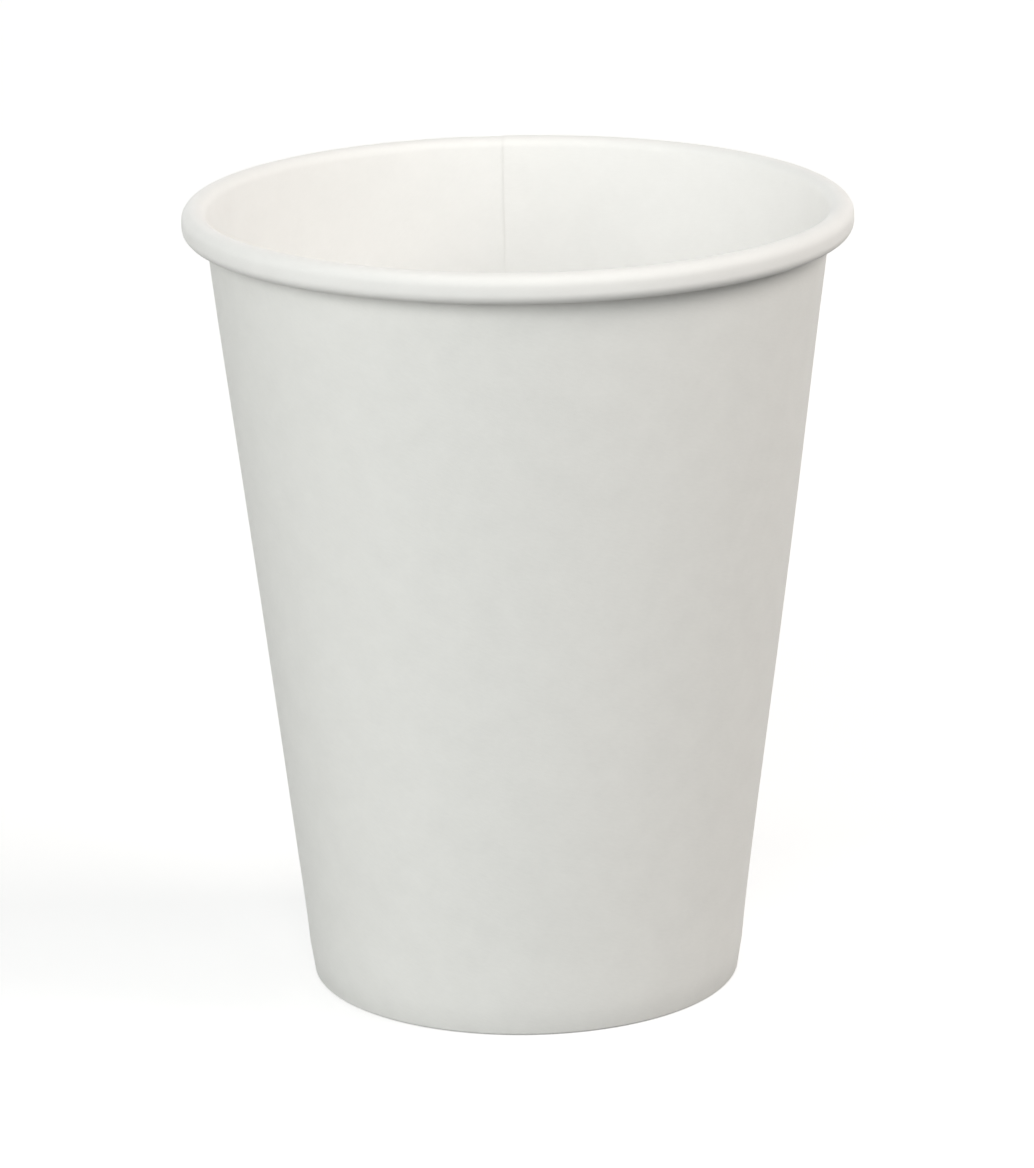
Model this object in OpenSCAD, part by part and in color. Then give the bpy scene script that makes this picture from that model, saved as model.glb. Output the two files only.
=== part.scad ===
// Single-wall paper hot cup with a rolled rim.
// It stands on z = 0 round the Z axis, and its side seam is at the back, towards +Y.

/* [Cup] */
// Height from the standing plane to the top of the rolled rim
cup_h = 108; // [85:1:135]
// Diameter across the outside of the rolled rim
rim_d = 90; // [74:0.5:108]
// Outside diameter of the sidewall at the standing plane
base_d = 58.5; // [46:0.5:70]

/* [Board] */
// Thickness of the sidewall's board
wall_t = 0.35; // [0.25:0.01:0.5]
// Thickness of the bottom's board
bottom_t = 0.3; // [0.2:0.01:0.5]
// Clearance on each side of the bottom's skirt, where the coating seals it
seal_gap = 0.02; // [0.01:0.01:0.05]

/* [Rolled rim] */
// Width of the roll's section
roll_w = 3.3; // [2.7:0.1:4.2]
// Height of the roll's section
roll_h = 4; // [3.5:0.1:5]
// Gap between the turns inside the roll
roll_gap = 0.1; // [0.05:0.01:0.2]
// Where the inner turn's raw edge lies, in degrees, with 90 at the top of the roll
roll_end = 75; // [45:5:135]

/* [Base] */
// Height from the standing plane to the underside of the bottom
bottom_up = 7.5; // [5:0.1:12]
// Outer radius of the bend between the bottom and its skirt
bend_r = 0.8; // [0.6:0.05:1.2]
// Clearance between the fold's raw edge and the bottom's bend above it
fold_clear = 0.3; // [0.1:0.05:1]
// Clearance between the skirt's raw edge and the fold below it
skirt_clear = 0.25; // [0.1:0.05:1]
// Inside radius of the two bends of the fold
heel_in_r = 0.05; // [0.02:0.01:0.1]

/* [Side seam] */
// Width of the lap, half way up the cup
lap_w = 6.5; // [4:0.5:10]
// Turn from the middle of the back to the inner layer's raw edge, in degrees
lap_turn = 2.6; // [-5:0.1:10]
// How much steeper than a taut sheet the outer layer comes down past the inner raw edge
ease_steep = 1.05; // [1.03:0.01:1.2]

/* [Hidden] */
$fn = 192;

// Turn between two points of an arc, in degrees
arc_step = 9;
// The back of the cup, in degrees round Z
back = 90;

// The roll is two round ends joined by a straight drop: roll_c is the upper centre, under_c the lower one
roll_r = roll_w / 2;
roll_c = [rim_d / 2 - roll_r, cup_h - roll_r];

// The wall runs from the edge of the base to where it meets the roll tangentially
to_roll = [roll_c.x - base_d / 2, roll_c.y];
taper = atan(to_roll.x / to_roll.y) - asin((roll_r - wall_t) / norm(to_roll));

// The drop and the lower radius that make the roll roll_h high and bring it back beside the wall
roll_drop = (roll_h - roll_w + (wall_t + roll_gap) / (1 + cos(taper))) / (1 + tan(taper / 2));
under_r = roll_r - (wall_t + roll_gap - roll_drop * sin(taper)) / (1 + cos(taper));
under_c = [rim_d / 2 - under_r, roll_c.y - roll_drop];
inner_turn_r = roll_r - wall_t - roll_gap;

// The fold holds the skirt between the wall and its own turned-up leg
skirt_deep = wall_t + seal_gap;
fold_w = 2 * wall_t + 2 * seal_gap + bottom_t;
fold_top = bottom_up - (bend_r - bottom_t) - fold_clear;
heel_r = heel_in_r + wall_t;
heel_c = [wall_r(heel_r, heel_r), heel_r];
toe_c = [wall_r(heel_r, fold_w - heel_r), heel_r];

bottom_top = bottom_up + bottom_t;
bend_c = [wall_r(bottom_top - bend_r, skirt_deep + bend_r), bottom_top - bend_r];
skirt_end = wall_t + skirt_clear;

// At the seam the outer layer stands one board proud between the two raw edges
lap_angle = lap_w / wall_r(cup_h / 2) * 180 / PI;
lap_to = back + lap_turn;
lap_low = heel_r;
lap_high = under_c.y - wall_t / 2;

// Past the inner raw edge the outer layer runs straight, at this slope, until it lies on the round wall again.
// Its ends are square to the wall, so they stay just inside the lap's level ends.
ease_low = lap_low + wall_t / 2;
ease_high = lap_high - wall_t / 2;
ease_slope = ease_steep * sqrt(2 * wall_t / (base_d / 2));
ease_len = ease_slope * base_d / 2;
ease_root = wall_t / 2 + ease_len ^ 2 / (2 * wall_r(cup_h / 2));

// It starts this much below the lap's own outer edge
ease_sink = wall_t / 10;

// The hollow under it begins this far past the inner raw edge, along which the two layers are sealed
seal_past = wall_t / 4;

// Radius at a height of the cone that lies this deep in from the wall's outer face
function wall_r(z, deep = 0) = base_d / 2 + z * tan(taper) - deep / cos(taper);

// Points of an arc in the section: both ends, and each whole step between them, so its extremes are exact
function arc(centre, r, from, to) =
    let (way = to > from ? arc_step : -arc_step, first = way * (floor(from / way) + 1))
    [for (a = concat(from, [for (a = [first:way:to - way / 100]) a], to)) centre + r * [cos(a), sin(a)]];

function reversed(list) = [for (i = [len(list) - 1:-1:0]) list[i]];

// One face of the sidewall sheet, from the fold's raw edge to the roll's: 0 is the outer face, 1 the inner
function sheet_face(side) = concat(
    [[wall_r(fold_top, fold_w - side * wall_t), fold_top]],
    arc(toe_c, heel_r - side * wall_t, 180 - taper, 270),
    arc(heel_c, heel_r - side * wall_t, 270, 360 - taper),
    arc(roll_c, roll_r - (1 - side) * wall_t, 180 - taper, 0),
    arc(under_c, under_r - (1 - side) * wall_t, 0, -180 - taper),
    arc(roll_c, inner_turn_r - (1 - side) * wall_t, 180 - taper, roll_end)
);

// One face of the bottom, from the axis to the skirt's raw edge: 0 is the upper face, 1 the lower
function bottom_face(side) = concat(
    [[0, bottom_top - side * bottom_t]],
    arc(bend_c, bend_r - side * bottom_t, 90, -taper),
    [[wall_r(skirt_end, skirt_deep + side * bottom_t), skirt_end]]
);

// The outer layer's second thickness, between the two raw edges
module lap() {
    rotate([0, 0, lap_to - lap_angle])
        rotate_extrude(angle = lap_angle)
            polygon([
                [wall_r(lap_low, wall_t / 2), lap_low],
                [wall_r(lap_low, -wall_t), lap_low],
                [wall_r(lap_high, -wall_t), lap_high],
                [wall_r(lap_high, wall_t / 2), lap_high]
            ]);
}

// Extrudes up the wall from the inner raw edge: X is out of the wall's face, Y is round the cup from the lap
module up_the_edge(low, high) {
    rotate([0, 0, lap_to])
        translate([wall_r(low), 0, low])
            rotate([0, taper, 0])
                linear_extrude((high - low) / cos(taper))
                    children();
}

// The outer layer's way back down onto the wall
module ease() {
    up_the_edge(ease_low, ease_high)
        polygon([
            [wall_t - ease_sink, 0],
            [0, -wall_t],
            [-wall_t / 2, 0],
            [-ease_root, ease_len],
            [wall_t - ease_sink - ease_slope * ease_len, ease_len]
        ]);
}

// The hollow under that way down, beside the inner raw edge
module ease_hollow() {
    up_the_edge(bottom_top, ease_high - wall_t / 2)
        polygon([
            [-ease_sink - ease_slope * seal_past, seal_past],
            [-roll_w, seal_past],
            [-roll_w, ease_len],
            [-ease_sink - ease_slope * ease_len, ease_len]
        ]);
}

module sidewall() {
    color("white")
        difference() {
            union() {
                rotate_extrude()
                    polygon(concat(sheet_face(0), reversed(sheet_face(1))));
                lap();
                ease();
            }
            ease_hollow();
        }
}

module bottom_disc() {
    color("whitesmoke")
        rotate_extrude()
            polygon(concat(bottom_face(0), reversed(bottom_face(1))));
}

sidewall();
bottom_disc();
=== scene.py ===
"""A plain single-wall paper cup for hot drinks, empty, seen from a little above its rim.

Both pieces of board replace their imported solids, each as one closed mesh. The sidewall is a fan-shaped
sheet, wrapped round and lapped on itself, and the bottom is a pressed disc. Lengths are in metres.
"""

from math import asin, atan, cos, hypot, pi, radians, sin, tan

import bmesh
import bpy
import numpy as np
from mathutils import Matrix, Vector


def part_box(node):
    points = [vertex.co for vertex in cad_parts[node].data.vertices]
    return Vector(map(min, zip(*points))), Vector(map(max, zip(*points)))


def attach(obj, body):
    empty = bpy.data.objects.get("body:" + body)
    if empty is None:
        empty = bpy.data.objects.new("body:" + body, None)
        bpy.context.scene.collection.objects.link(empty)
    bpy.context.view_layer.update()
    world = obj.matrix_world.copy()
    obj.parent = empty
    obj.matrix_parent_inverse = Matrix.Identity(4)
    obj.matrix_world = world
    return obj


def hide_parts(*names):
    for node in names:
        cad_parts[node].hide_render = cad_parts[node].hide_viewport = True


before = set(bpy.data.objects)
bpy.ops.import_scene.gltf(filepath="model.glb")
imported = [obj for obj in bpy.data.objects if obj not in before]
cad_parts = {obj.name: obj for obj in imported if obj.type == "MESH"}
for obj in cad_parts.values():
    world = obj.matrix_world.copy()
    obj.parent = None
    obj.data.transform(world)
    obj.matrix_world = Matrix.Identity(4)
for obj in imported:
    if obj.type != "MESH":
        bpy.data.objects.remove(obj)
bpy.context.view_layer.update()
wall_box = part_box("sidewall")
disc_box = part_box("bottom_disc")

MM = 0.001

# The cup and its two boards, as packed
rim_r = wall_box[1].x
cup_h = wall_box[1].z
bottom_top = disc_box[1].z
skirt_end = disc_box[0].z
base_r = 29.25 * MM
wall_t = 0.35 * MM
bottom_t = 0.3 * MM
seal_gap = 0.02 * MM

# The rolled rim: its section's width and height, the gap between its turns, and where its raw edge lies
roll_w = 3.3 * MM
roll_h = 4 * MM
roll_gap = 0.1 * MM
roll_end = radians(75)

# The base: the bottom's bend, the clearance of the fold's raw edge, and the fold's own bends
bend_r = 0.8 * MM
fold_clear = 0.3 * MM
heel_in_r = 0.05 * MM

# The side seam: the lap, its turn from the middle of the back, and the way back down onto the round wall
lap_w = 6.5 * MM
lap_turn = radians(2.6)
ease_turn = radians(9.3)
# Share of their thickness that the two layers lose in the lap
lap_press = 0.25
# What they lose besides at the base and the rim, and how far up and down the wall that reaches
tool_press = 0.15
base_press_h = 4 * MM
rim_press_h = 8 * MM
# The inner raw edge is pressed most: the share that it loses besides, and how far round that reaches
edge_press = 0.75
edge_turn = radians(2.8)

# What forming does to the plain shape. A span runs from where the effect starts to where it is full.
flare = 0.14 * MM  # outwards, where the fold fills the foot
flare_span = (10 * MM, 5 * MM)
pinch = 0.3 * MM  # inwards, below the flare, and half of it is reached at the standing edge
pinch_span = (1.6 * MM, -1.6 * MM)
unround = 0.09 * MM  # slow unevenness of the wall, between the foot and the rim
loose_low_span = (4 * MM, 25 * MM)
loose_high_span = (cup_h - 2 * MM, cup_h - 20 * MM)
slack_curl = 0.05 * MM  # unevenness of the roll
curl_span = (cup_h - 12 * MM, cup_h - 4 * MM)
wall_share_span = (0.86, 1)  # of the wall's radius, so that the bottom and the fold's inside stay plain
rib_depth = 0.07 * MM  # ribs that the base tool presses into the fold's leg
leg_facing_span = (0.5, 0.9)  # of how straight the leg's face looks towards the axis
crown = 0.25 * MM  # rise of the bottom's middle

# The meshes
COLUMNS = 480
ROLL_ROWS = 18
FOLD_ROWS = 6
LONGEST_RUN = 4 * MM
COLUMNS_A_RIB = 4
SHARP_TURN = radians(38)
SAME_PLACE = 1e-7


def pair(x, z):
    return np.array([x, z])


roll_r = roll_w / 2
roll_c = pair(rim_r - roll_r, cup_h - roll_r)
to_roll = roll_c - pair(base_r, 0)
taper = atan(to_roll[0] / to_roll[1]) - asin((roll_r - wall_t) / hypot(*to_roll))
roll_drop = (roll_h - roll_w + (wall_t + roll_gap) / (1 + cos(taper))) / (1 + tan(taper / 2))
under_r = roll_r - (wall_t + roll_gap - roll_drop * sin(taper)) / (1 + cos(taper))
under_c = pair(rim_r - under_r, roll_c[1] - roll_drop)
inner_turn_r = roll_r - wall_t - roll_gap


def wall_r(z, deep=0):
    """Radius at a height of the cone that lies this deep in from the wall's outer face."""
    return base_r + z * tan(taper) - deep / cos(taper)


skirt_deep = wall_t + seal_gap
fold_w = 2 * wall_t + 2 * seal_gap + bottom_t
fold_top = bottom_top - bend_r - fold_clear
heel_r = heel_in_r + wall_t
heel_c = pair(wall_r(heel_r, heel_r), heel_r)
toe_c = pair(wall_r(heel_r, fold_w - heel_r), heel_r)
bend_c = pair(wall_r(bottom_top - bend_r, skirt_deep + bend_r), bottom_top - bend_r)
lap_angle = lap_w / wall_r(cup_h / 2)
inner_edge = pi / 2 + lap_turn


def ramp(value, start, end):
    """0 before start and 1 after end, with a smooth rise between them."""
    share = np.clip((value - start) / (end - start), 0, 1)
    return share * share * (3 - 2 * share)


def bend(centre, radius, start, end, rows, side, second_turn=(0, 0)):
    """Rows of a section along a bend: a point, the way through the board, and the share of the second turn.

    The way through the board is out from the bend's centre where side is 1, and in to it where side is -1.
    """
    turn = np.linspace(start, end, rows + 1)
    ray = np.column_stack([np.cos(turn), np.sin(turn)])
    return np.column_stack([centre + radius * ray, side * ray, np.linspace(*second_turn, rows + 1)])


def spaced(rows, longest):
    """The same rows, with more of them along the straight runs."""
    done = [rows[:1]]
    for a, b in zip(rows, rows[1:]):
        count = int(np.ceil(hypot(*(b - a)[:2]) / longest))
        done.append(np.linspace(a, b, max(count, 1) + 1)[1:])
    return np.vstack(done)


def lengths_along(rows):
    """How far each row lies along the section from its first row."""
    steps = np.hypot(*np.diff(rows[:, :2], axis=0).T)
    return np.concatenate([[0], np.cumsum(steps)])[:, None]


def drift(theta, z, slowest, fastest, seed):
    """Unevenness of about -1 to 1: waves round the cup that change slowly up its height.

    The slowest and the fastest are counted in waves round the cup.
    """
    rng = np.random.default_rng(seed)
    total = 0
    for count in range(slowest, fastest + 1):
        round_phase, up_phase = rng.uniform(0, 2 * pi, 2)
        up_waves = rng.uniform(0.5, 1.6) * 2 * pi / cup_h
        total = total + np.cos(count * theta + round_phase) * np.cos(up_waves * z + up_phase)
    return total / (fastest - slowest + 1) ** 0.5


def formed(r, z, theta):
    """Points of the plain shape as the tools leave them: the flared and pinched foot, and the uneven wall."""
    near_wall = ramp(r / wall_r(z), *wall_share_span)
    foot = flare * ramp(z, *flare_span) - (flare + pinch) * ramp(z, *pinch_span)
    loose = ramp(z, *loose_low_span) * ramp(z, *loose_high_span)
    uneven = unround * drift(theta, z, 2, 7, seed=3) * loose
    # The roll only ever dips, so the rim stays inside its packed size
    waves = drift(theta, 0 * z, 2, 5, seed=8)
    dip = slack_curl * ramp(z, *curl_span) * (1 + waves).clip(0, 3)
    r = r + near_wall * (foot + uneven) - dip
    return np.stack([r * np.cos(theta), r * np.sin(theta), z - dip], axis=-1)


def closed_board(name, drink_face, outer_face, blank, ring=False):
    """A closed mesh between two grids of points.

    The last column of a ring meets its first, and its first row is its middle.
    """
    count = drink_face[..., 0].size
    grid = np.arange(count).reshape(drink_face.shape[:2])

    def strip(a, b):
        return np.stack([a[:-1], a[1:], b[1:], b[:-1]], axis=-1).reshape(-1, 4)

    face = strip(grid[:, :-1], grid[:, 1:])
    borders = [grid[-1]] if ring else [grid[0], grid[-1], grid[:, 0], grid[:, -1]]
    edges = np.vstack([strip(line, line + count) for line in borders])
    quads = np.vstack([face, face + count, edges])
    mesh = bpy.data.meshes.new(name)
    points = np.concatenate([drink_face.reshape(-1, 3), outer_face.reshape(-1, 3)])
    mesh.from_pydata(points.tolist(), [], quads.tolist())
    kinds = np.repeat([0, 1, 2], [len(face), len(face), len(edges)])
    mesh.polygons.foreach_set("material_index", kinds.astype(np.int32))
    mesh.polygons.foreach_set("use_smooth", np.ones(len(quads), bool))
    flat = mesh.attributes.new("blank", "FLOAT_VECTOR", "POINT")
    flat.data.foreach_set("vector", np.tile(blank.reshape(-1, 3), (2, 1)).astype(np.float32).ravel())

    bm = bmesh.new()
    bm.from_mesh(mesh)
    if ring:
        bmesh.ops.remove_doubles(bm, verts=bm.verts, dist=SAME_PLACE)
    bmesh.ops.recalc_face_normals(bm, faces=bm.faces)
    bm.to_mesh(mesh)
    bm.free()
    mesh.set_sharp_from_angle(angle=SHARP_TURN)
    board = bpy.data.objects.new(name, mesh)
    bpy.context.scene.collection.objects.link(board)
    return board


def make_sidewall():
    """The sheet, from the fold's raw edge inside the base to the raw edge inside the roll."""
    up, down = radians(180) - taper, radians(-180) - taper
    rows = np.vstack([
        [wall_r(fold_top, fold_w - wall_t), fold_top, cos(up), sin(up), 0],
        bend(toe_c, heel_in_r, up, radians(270), FOLD_ROWS, 1),
        bend(heel_c, heel_in_r, radians(270), radians(360) - taper, FOLD_ROWS, 1),
        bend(roll_c, roll_r, up, 0, ROLL_ROWS, -1),
        bend(under_c, under_r, 0, down, ROLL_ROWS, -1, (0, 1)),
        bend(roll_c, inner_turn_r, up, roll_end, ROLL_ROWS // 2, -1, (1, 1)),
    ])
    rows = spaced(rows, LONGEST_RUN)
    along = lengths_along(rows)
    r, z, out_r, out_z, second = (column[:, None] for column in rows.T)

    # The wrap starts at the inner layer's raw edge. The sheet lies over itself at its end, and lap is
    # where there are two layers.
    wrap = np.linspace(0, 2 * pi + lap_angle, COLUMNS)[None]
    theta = inner_edge - wrap
    over = ramp(wrap, 2 * pi - ease_turn, 2 * pi)
    lap = np.maximum(over, ramp(wrap, lap_angle + ease_turn, lap_angle))
    at_base = ramp(z, fold_top + base_press_h, fold_top)
    at_rim = ramp(z, under_c[1] - rim_press_h, under_c[1])
    pressed = np.maximum(at_base, at_rim)
    outer = wall_t * (1 - (lap_press + tool_press * pressed) * lap)
    past_edge = np.where(wrap > pi, wrap - 2 * pi, wrap)
    inner = outer * (1 - edge_press * ramp(past_edge, edge_turn, 0))
    thick = np.where(wrap > lap_angle, outer, inner)
    proud = (inner + seal_gap) * over + (outer + seal_gap) * second * lap

    # In the fold the lap's two layers nest, and the inner one is lifted off the standing plane
    lift = ramp(z, fold_top, heel_r) * lap * (inner + seal_gap + outer - wall_t)
    on_leg = (z <= fold_top) * ramp(-out_r, *leg_facing_span)
    rib = np.sin(np.arange(COLUMNS) * 2 * pi / COLUMNS_A_RIB)[None]
    ribbed = rib_depth * on_leg * (0.5 + 0.5 * rib)

    def face(depth):
        deep = proud + depth
        return formed(r + out_r * deep + lift * tan(taper), z + out_z * deep + lift, theta)

    # The flat blank that the sheet is cut to is a fan, and the cone's tip is its centre
    from_tip = base_r / sin(taper) + along - along[np.argmax(rows[:, 2] > 0)]
    turn = wrap * sin(taper)
    blank = np.stack([from_tip * np.sin(turn), from_tip * np.cos(turn), 0 * turn * from_tip], axis=-1)
    return closed_board("sidewall_board", face(0), face(thick - ribbed), blank)


def make_bottom():
    """The disc, from its middle to its skirt's raw edge."""
    rows = np.vstack([
        [0, bottom_top, 0, -1, 0],
        bend(bend_c, bend_r, radians(90), -taper, FOLD_ROWS, -1),
        [wall_r(skirt_end, skirt_deep), skirt_end, -cos(taper), sin(taper), 0],
    ])
    rows = spaced(rows, LONGEST_RUN / 2)
    along = lengths_along(rows)
    r, z, out_r, out_z, _ = (column[:, None] for column in rows.T)
    theta = np.linspace(0, 2 * pi, COLUMNS)[None]
    raised = crown * ramp(r, bend_c[0], 0)

    def face(depth):
        return formed(r + out_r * depth, z + out_z * depth + raised, theta)

    blank = np.stack([along * np.cos(theta), along * np.sin(theta), 0 * along * theta], axis=-1)
    return closed_board("bottom_board", face(0), face(bottom_t), blank, ring=True)


def node(tree, kind, inputs=None, **settings):
    """Adds a shader node. Each input is set to a value, or linked where it is another node's output."""
    made = tree.nodes.new(kind)
    for name, value in settings.items():
        setattr(made, name, value)
    for key, value in (inputs or {}).items():
        if isinstance(value, bpy.types.NodeSocket):
            tree.links.new(value, made.inputs[key])
        else:
            made.inputs[key].default_value = value
    return made


def cleared(owner):
    """The node tree of a new material or world, emptied."""
    owner.use_nodes = True
    owner.node_tree.nodes.clear()
    return owner.node_tree


# The board's textures: how many features fit in a metre of the blank, and what their noise is like
clouds_a_metre = 210
fibres_a_metre = (900, 3600, 900)
grains_a_metre = 9000
noise_roughness = 0.58
fibre_share = 0.45  # in the colour, beside the clouds
fibre_relief = 0.6  # beside the grain
gloss_spread = 0.05


def noise(tree, place, scale, detail):
    """Fractal noise at a place, from 0 to 1."""
    inputs = {"Vector": place, "Scale": scale, "Detail": detail, "Roughness": noise_roughness}
    return node(tree, "ShaderNodeTexNoise", inputs).outputs["Fac"]


def board_material(name, tone, uneven, roughness, shine, relief):
    """White board: cloudy formation, fibres that lie mostly one way across the blank, and a fine relief.

    The tone gets lighter and darker by the share uneven, and the relief is a height in metres.
    """
    material = bpy.data.materials.new(name)
    tree = cleared(material)
    blank = node(tree, "ShaderNodeAttribute", attribute_name="blank").outputs["Vector"]
    lying = node(tree, "ShaderNodeMapping", {"Vector": blank, "Scale": fibres_a_metre}).outputs[0]
    clouds = noise(tree, blank, clouds_a_metre, 4)
    fibres = noise(tree, lying, 1, 5)
    grain = noise(tree, blank, grains_a_metre, 2)
    mottle = node(tree, "ShaderNodeMix", {0: fibre_share, 2: clouds, 3: fibres}).outputs[0]
    lighter, darker = ([c * change for c in tone] + [1] for change in (1 + uneven, 1 - uneven))
    mottled = node(tree, "ShaderNodeMix", {0: mottle, 6: lighter, 7: darker}, data_type="RGBA")
    ridges = node(tree, "ShaderNodeMath", {0: fibres, 1: fibre_relief}, operation="MULTIPLY")
    height = node(tree, "ShaderNodeMath", {0: ridges.outputs[0], 1: grain}, operation="ADD")
    bump = node(tree, "ShaderNodeBump", {"Height": height.outputs[0], "Strength": 1, "Distance": relief})
    smoothest, roughest = roughness - gloss_spread, roughness + gloss_spread
    gloss = node(tree, "ShaderNodeMapRange", {0: clouds, 3: smoothest, 4: roughest})
    skin = {
        "Base Color": mottled.outputs[2],
        "Roughness": gloss.outputs[0],
        "Normal": bump.outputs[0],
        "Specular IOR Level": shine,
    }
    shader = node(tree, "ShaderNodeBsdfPrincipled", skin)
    node(tree, "ShaderNodeOutputMaterial", {"Surface": shader.outputs[0]})
    return material


# In the order of the material indices: the face towards the drink, the face away from it, and the raw edges
board_materials = [
    board_material(
        "coated_face", (0.915, 0.91, 0.897), uneven=0.045, roughness=0.65, shine=0.15, relief=0.01 * MM
    ),
    board_material(
        "matte_face", (0.88, 0.88, 0.86), uneven=0.07, roughness=0.8, shine=0.25, relief=0.02 * MM
    ),
    board_material(
        "raw_edge", (0.79, 0.76, 0.69), uneven=0.15, roughness=0.9, shine=0.2, relief=0.03 * MM
    ),
]

# Each piece gets the three board materials, its imported solid is hidden, and it hangs from the root body
for piece, cad_node in ((make_sidewall(), "sidewall"), (make_bottom(), "bottom_disc")):
    for material in board_materials:
        piece.data.materials.append(material)
    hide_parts(cad_node)
    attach(piece, "root")

# The floor's pale tone under the cup. To the camera it is part lit surface, which keeps the cup's shadow,
# and part glow, which brings the open floor up to white.
bounce = 0.27
shadowed = 0.6
veil = 0.56
floor_reach = 3
floor_mesh = bpy.data.meshes.new("floor")
corners = [(x * floor_reach, y * floor_reach, 0) for x, y in ((-1, -1), (1, -1), (1, 1), (-1, 1))]
floor_mesh.from_pydata(corners, [], [(0, 1, 2, 3)])
floor = bpy.data.objects.new("floor", floor_mesh)
bpy.context.scene.collection.objects.link(floor)


def seen(tree):
    """1 for the rays that show the background itself: the camera's, and those in gloss or through glass."""
    path = node(tree, "ShaderNodeLightPath").outputs
    rays = {0: path["Is Camera Ray"], 1: path["Is Glossy Ray"]}
    either = node(tree, "ShaderNodeMath", rays, operation="MAXIMUM").outputs[0]
    rays = {0: either, 1: path["Is Transmission Ray"]}
    return node(tree, "ShaderNodeMath", rays, operation="MAXIMUM").outputs[0]


floor_material = bpy.data.materials.new("pale_floor")
tree = cleared(floor_material)
plain = node(tree, "ShaderNodeBsdfDiffuse", {"Color": (bounce, bounce, bounce, 1)})
lit = node(tree, "ShaderNodeBsdfDiffuse", {"Color": (shadowed, shadowed, shadowed, 1)})
glow = node(tree, "ShaderNodeEmission", {"Color": (1, 1, 1, 1), "Strength": veil})
white = node(tree, "ShaderNodeAddShader", {0: lit.outputs[0], 1: glow.outputs[0]})
surface = node(tree, "ShaderNodeMixShader", {0: seen(tree), 1: plain.outputs[0], 2: white.outputs[0]})
node(tree, "ShaderNodeOutputMaterial", {"Surface": surface.outputs[0]})
floor_mesh.materials.append(floor_material)

room_light = 0.02
world = bpy.data.worlds.new("studio")
bpy.context.scene.world = world
tree = cleared(world)
room = node(tree, "ShaderNodeBackground", {"Color": (1, 1, 1, 1), "Strength": room_light})
backdrop = node(tree, "ShaderNodeBackground", {"Color": (1, 1, 1, 1), "Strength": 1})
shown = node(tree, "ShaderNodeMixShader", {0: seen(tree), 1: room.outputs[0], 2: backdrop.outputs[0]})
node(tree, "ShaderNodeOutputWorld", {"Surface": shown.outputs[0]})


def soft_box(name, azimuth, elevation, width, power, tint):
    """A square lamp that faces the cup, with its width in metres and its power in watts.

    Its azimuth and elevation are in degrees. Azimuth 0 is in front of the cup, and 90 is at the right of
    the picture.
    """
    lamp = bpy.data.lights.new(name, "AREA")
    lamp.size = width
    lamp.energy = power
    lamp.color = tint
    holder = bpy.data.objects.new(name, lamp)
    around, up = radians(azimuth), radians(elevation)
    towards = Vector((cos(up) * sin(around), -cos(up) * cos(around), sin(up)))
    holder.location = Vector((0, 0, cup_h / 2)) + lamp_distance * towards
    holder.rotation_euler = (-towards).to_track_quat("-Z", "Y").to_euler()
    bpy.context.scene.collection.objects.link(holder)


lamp_distance = 2.3
cool = (0.985, 1, 0.975)
warm = (1, 0.945, 0.885)
neutral = (1, 1, 1)
soft_box("left", -74, 20, 1.6, 5.5, cool)
soft_box("front_left", -48, 19, 1.6, 25.3, cool)
soft_box("front", -6, 30, 1.2, 18.3, cool)
soft_box("front_right", 45, 40, 1.2, 6, neutral)
soft_box("right", 80, 34, 1.2, 27.7, warm)
soft_box("back_left", -163, 16, 1.6, 18, neutral)
soft_box("back_right", 145, 16, 1.6, 11, neutral)
soft_box("overhead", 0, 88, 1.2, 2.5, neutral)

# Camera: as far off, as high and as slightly tilted as in the photograph
eye_pitch = radians(16.032)
eye_roll = radians(-0.693)
eye_distance = 778 * MM
eye_target = Vector((-0.69 * MM, 0, 54.58 * MM))
camera = bpy.data.objects.new("camera", bpy.data.cameras.new("camera"))
camera.data.lens = 176
camera.data.sensor_width = 36
aim = Matrix.Translation(eye_target) @ Matrix.Rotation(radians(90) - eye_pitch, 4, "X")
camera.matrix_world = aim @ Matrix.Translation((0, 0, eye_distance)) @ Matrix.Rotation(eye_roll, 4, "Z")
bpy.context.scene.collection.objects.link(camera)
bpy.context.scene.camera = camera
bpy.context.scene.view_settings.view_transform = "Standard"
